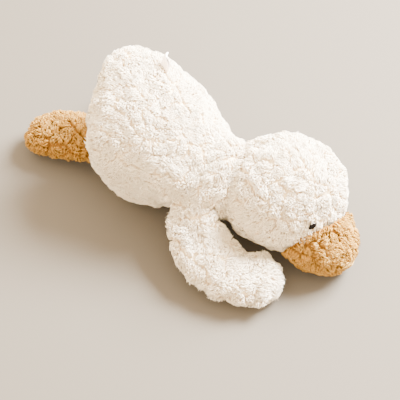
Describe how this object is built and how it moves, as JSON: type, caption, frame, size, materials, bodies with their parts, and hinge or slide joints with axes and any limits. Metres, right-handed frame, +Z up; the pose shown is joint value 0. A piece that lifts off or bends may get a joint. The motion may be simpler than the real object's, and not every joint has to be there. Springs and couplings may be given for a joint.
{
  "type": "plush duckling",
  "caption": "Stuffed plush duckling with curly cream pile and a tan bill and feet, lying on its belly with its head on one cheek.",
  "frame": {"origin": "on the surface that the duckling lies on, in the middle of its flattened belly", "axes": "+X from the tail towards the head, +Y towards the duckling's left, +Z up from the surface"},
  "size_m": [0.3623, 0.2105, 0.1379],
  "materials": {
    "cream_pile": "curly pile",
    "tan_pile": "curly pile",
    "fibre_fill": "loose fibre",
    "pellet_cloth": "plain weave",
    "eye_plastic": "polished",
    "washer_plastic": "moulded",
    "label_satin": "satin"
  },
  "bodies": {
    "torso": {"back_panel_left": "cream_pile", "back_panel_right": "cream_pile", "belly_panel": "cream_pile", "seat_panel": "cream_pile", "body_filling": "fibre_fill", "pellet_bag": "pellet_cloth", "care_label": "label_satin"},
    "neck": {"neck_cover": "cream_pile", "neck_filling": "fibre_fill"},
    "head": {"head_side_right": "cream_pile", "head_side_left": "cream_pile", "head_crown_strip": "cream_pile", "head_filling": "fibre_fill", "eye_right": "eye_plastic", "eye_left": "eye_plastic", "eye_washer_right": "washer_plastic", "eye_washer_left": "washer_plastic", "bill_upper": "tan_pile", "bill_lower": "tan_pile", "bill_filling": "fibre_fill"},
    "wing_right": {"wing_upper_right": "cream_pile", "wing_under_right": "cream_pile", "wing_filling_right": "fibre_fill"},
    "wing_left": {"wing_upper_left": "cream_pile", "wing_under_left": "cream_pile", "wing_filling_left": "fibre_fill"},
    "foot_right": {"foot_top_right": "tan_pile", "foot_sole_right": "tan_pile", "foot_filling_right": "fibre_fill"},
    "foot_left": {"foot_top_left": "tan_pile", "foot_sole_left": "tan_pile", "foot_filling_left": "fibre_fill"}
  },
  "joints": [
    {"name": "head_nod", "type": "hinge", "parent": "torso", "child": "neck", "pos_m": [0.098, -0.019, 0.06], "axis": [0.2728, -0.9621, 0], "range_deg": [0, 30]},
    {"name": "head_twist", "type": "hinge", "parent": "neck", "child": "head", "pos_m": [0.098, -0.019, 0.06], "axis": [-0.9605, -0.2724, 0.0573], "range_deg": [0, 45]},
    {"name": "wing_raise_right", "type": "hinge", "parent": "torso", "child": "wing_right", "pos_m": [0.0862, -0.06855, 0.07081], "axis": [-0.9397, -0.0718, -0.3344], "range_deg": [0, 90]},
    {"name": "wing_raise_left", "type": "hinge", "parent": "torso", "child": "wing_left", "pos_m": [0.09679, 0.02123, 0.02662], "axis": [0.9397, 0.221, 0.261], "range_deg": [0, 25]},
    {"name": "foot_swing_right", "type": "hinge", "parent": "torso", "child": "foot_right", "pos_m": [-0.03075, -0.02167, 0.03145], "axis": [0.0767, 0.9971, 0], "range_deg": [0, 20]},
    {"name": "foot_swing_left", "type": "hinge", "parent": "torso", "child": "foot_left", "pos_m": [-0.02684, 0.0332, 0.02949], "axis": [0.7071, 0.7071, 0], "range_deg": [0, 15]}
  ]
}
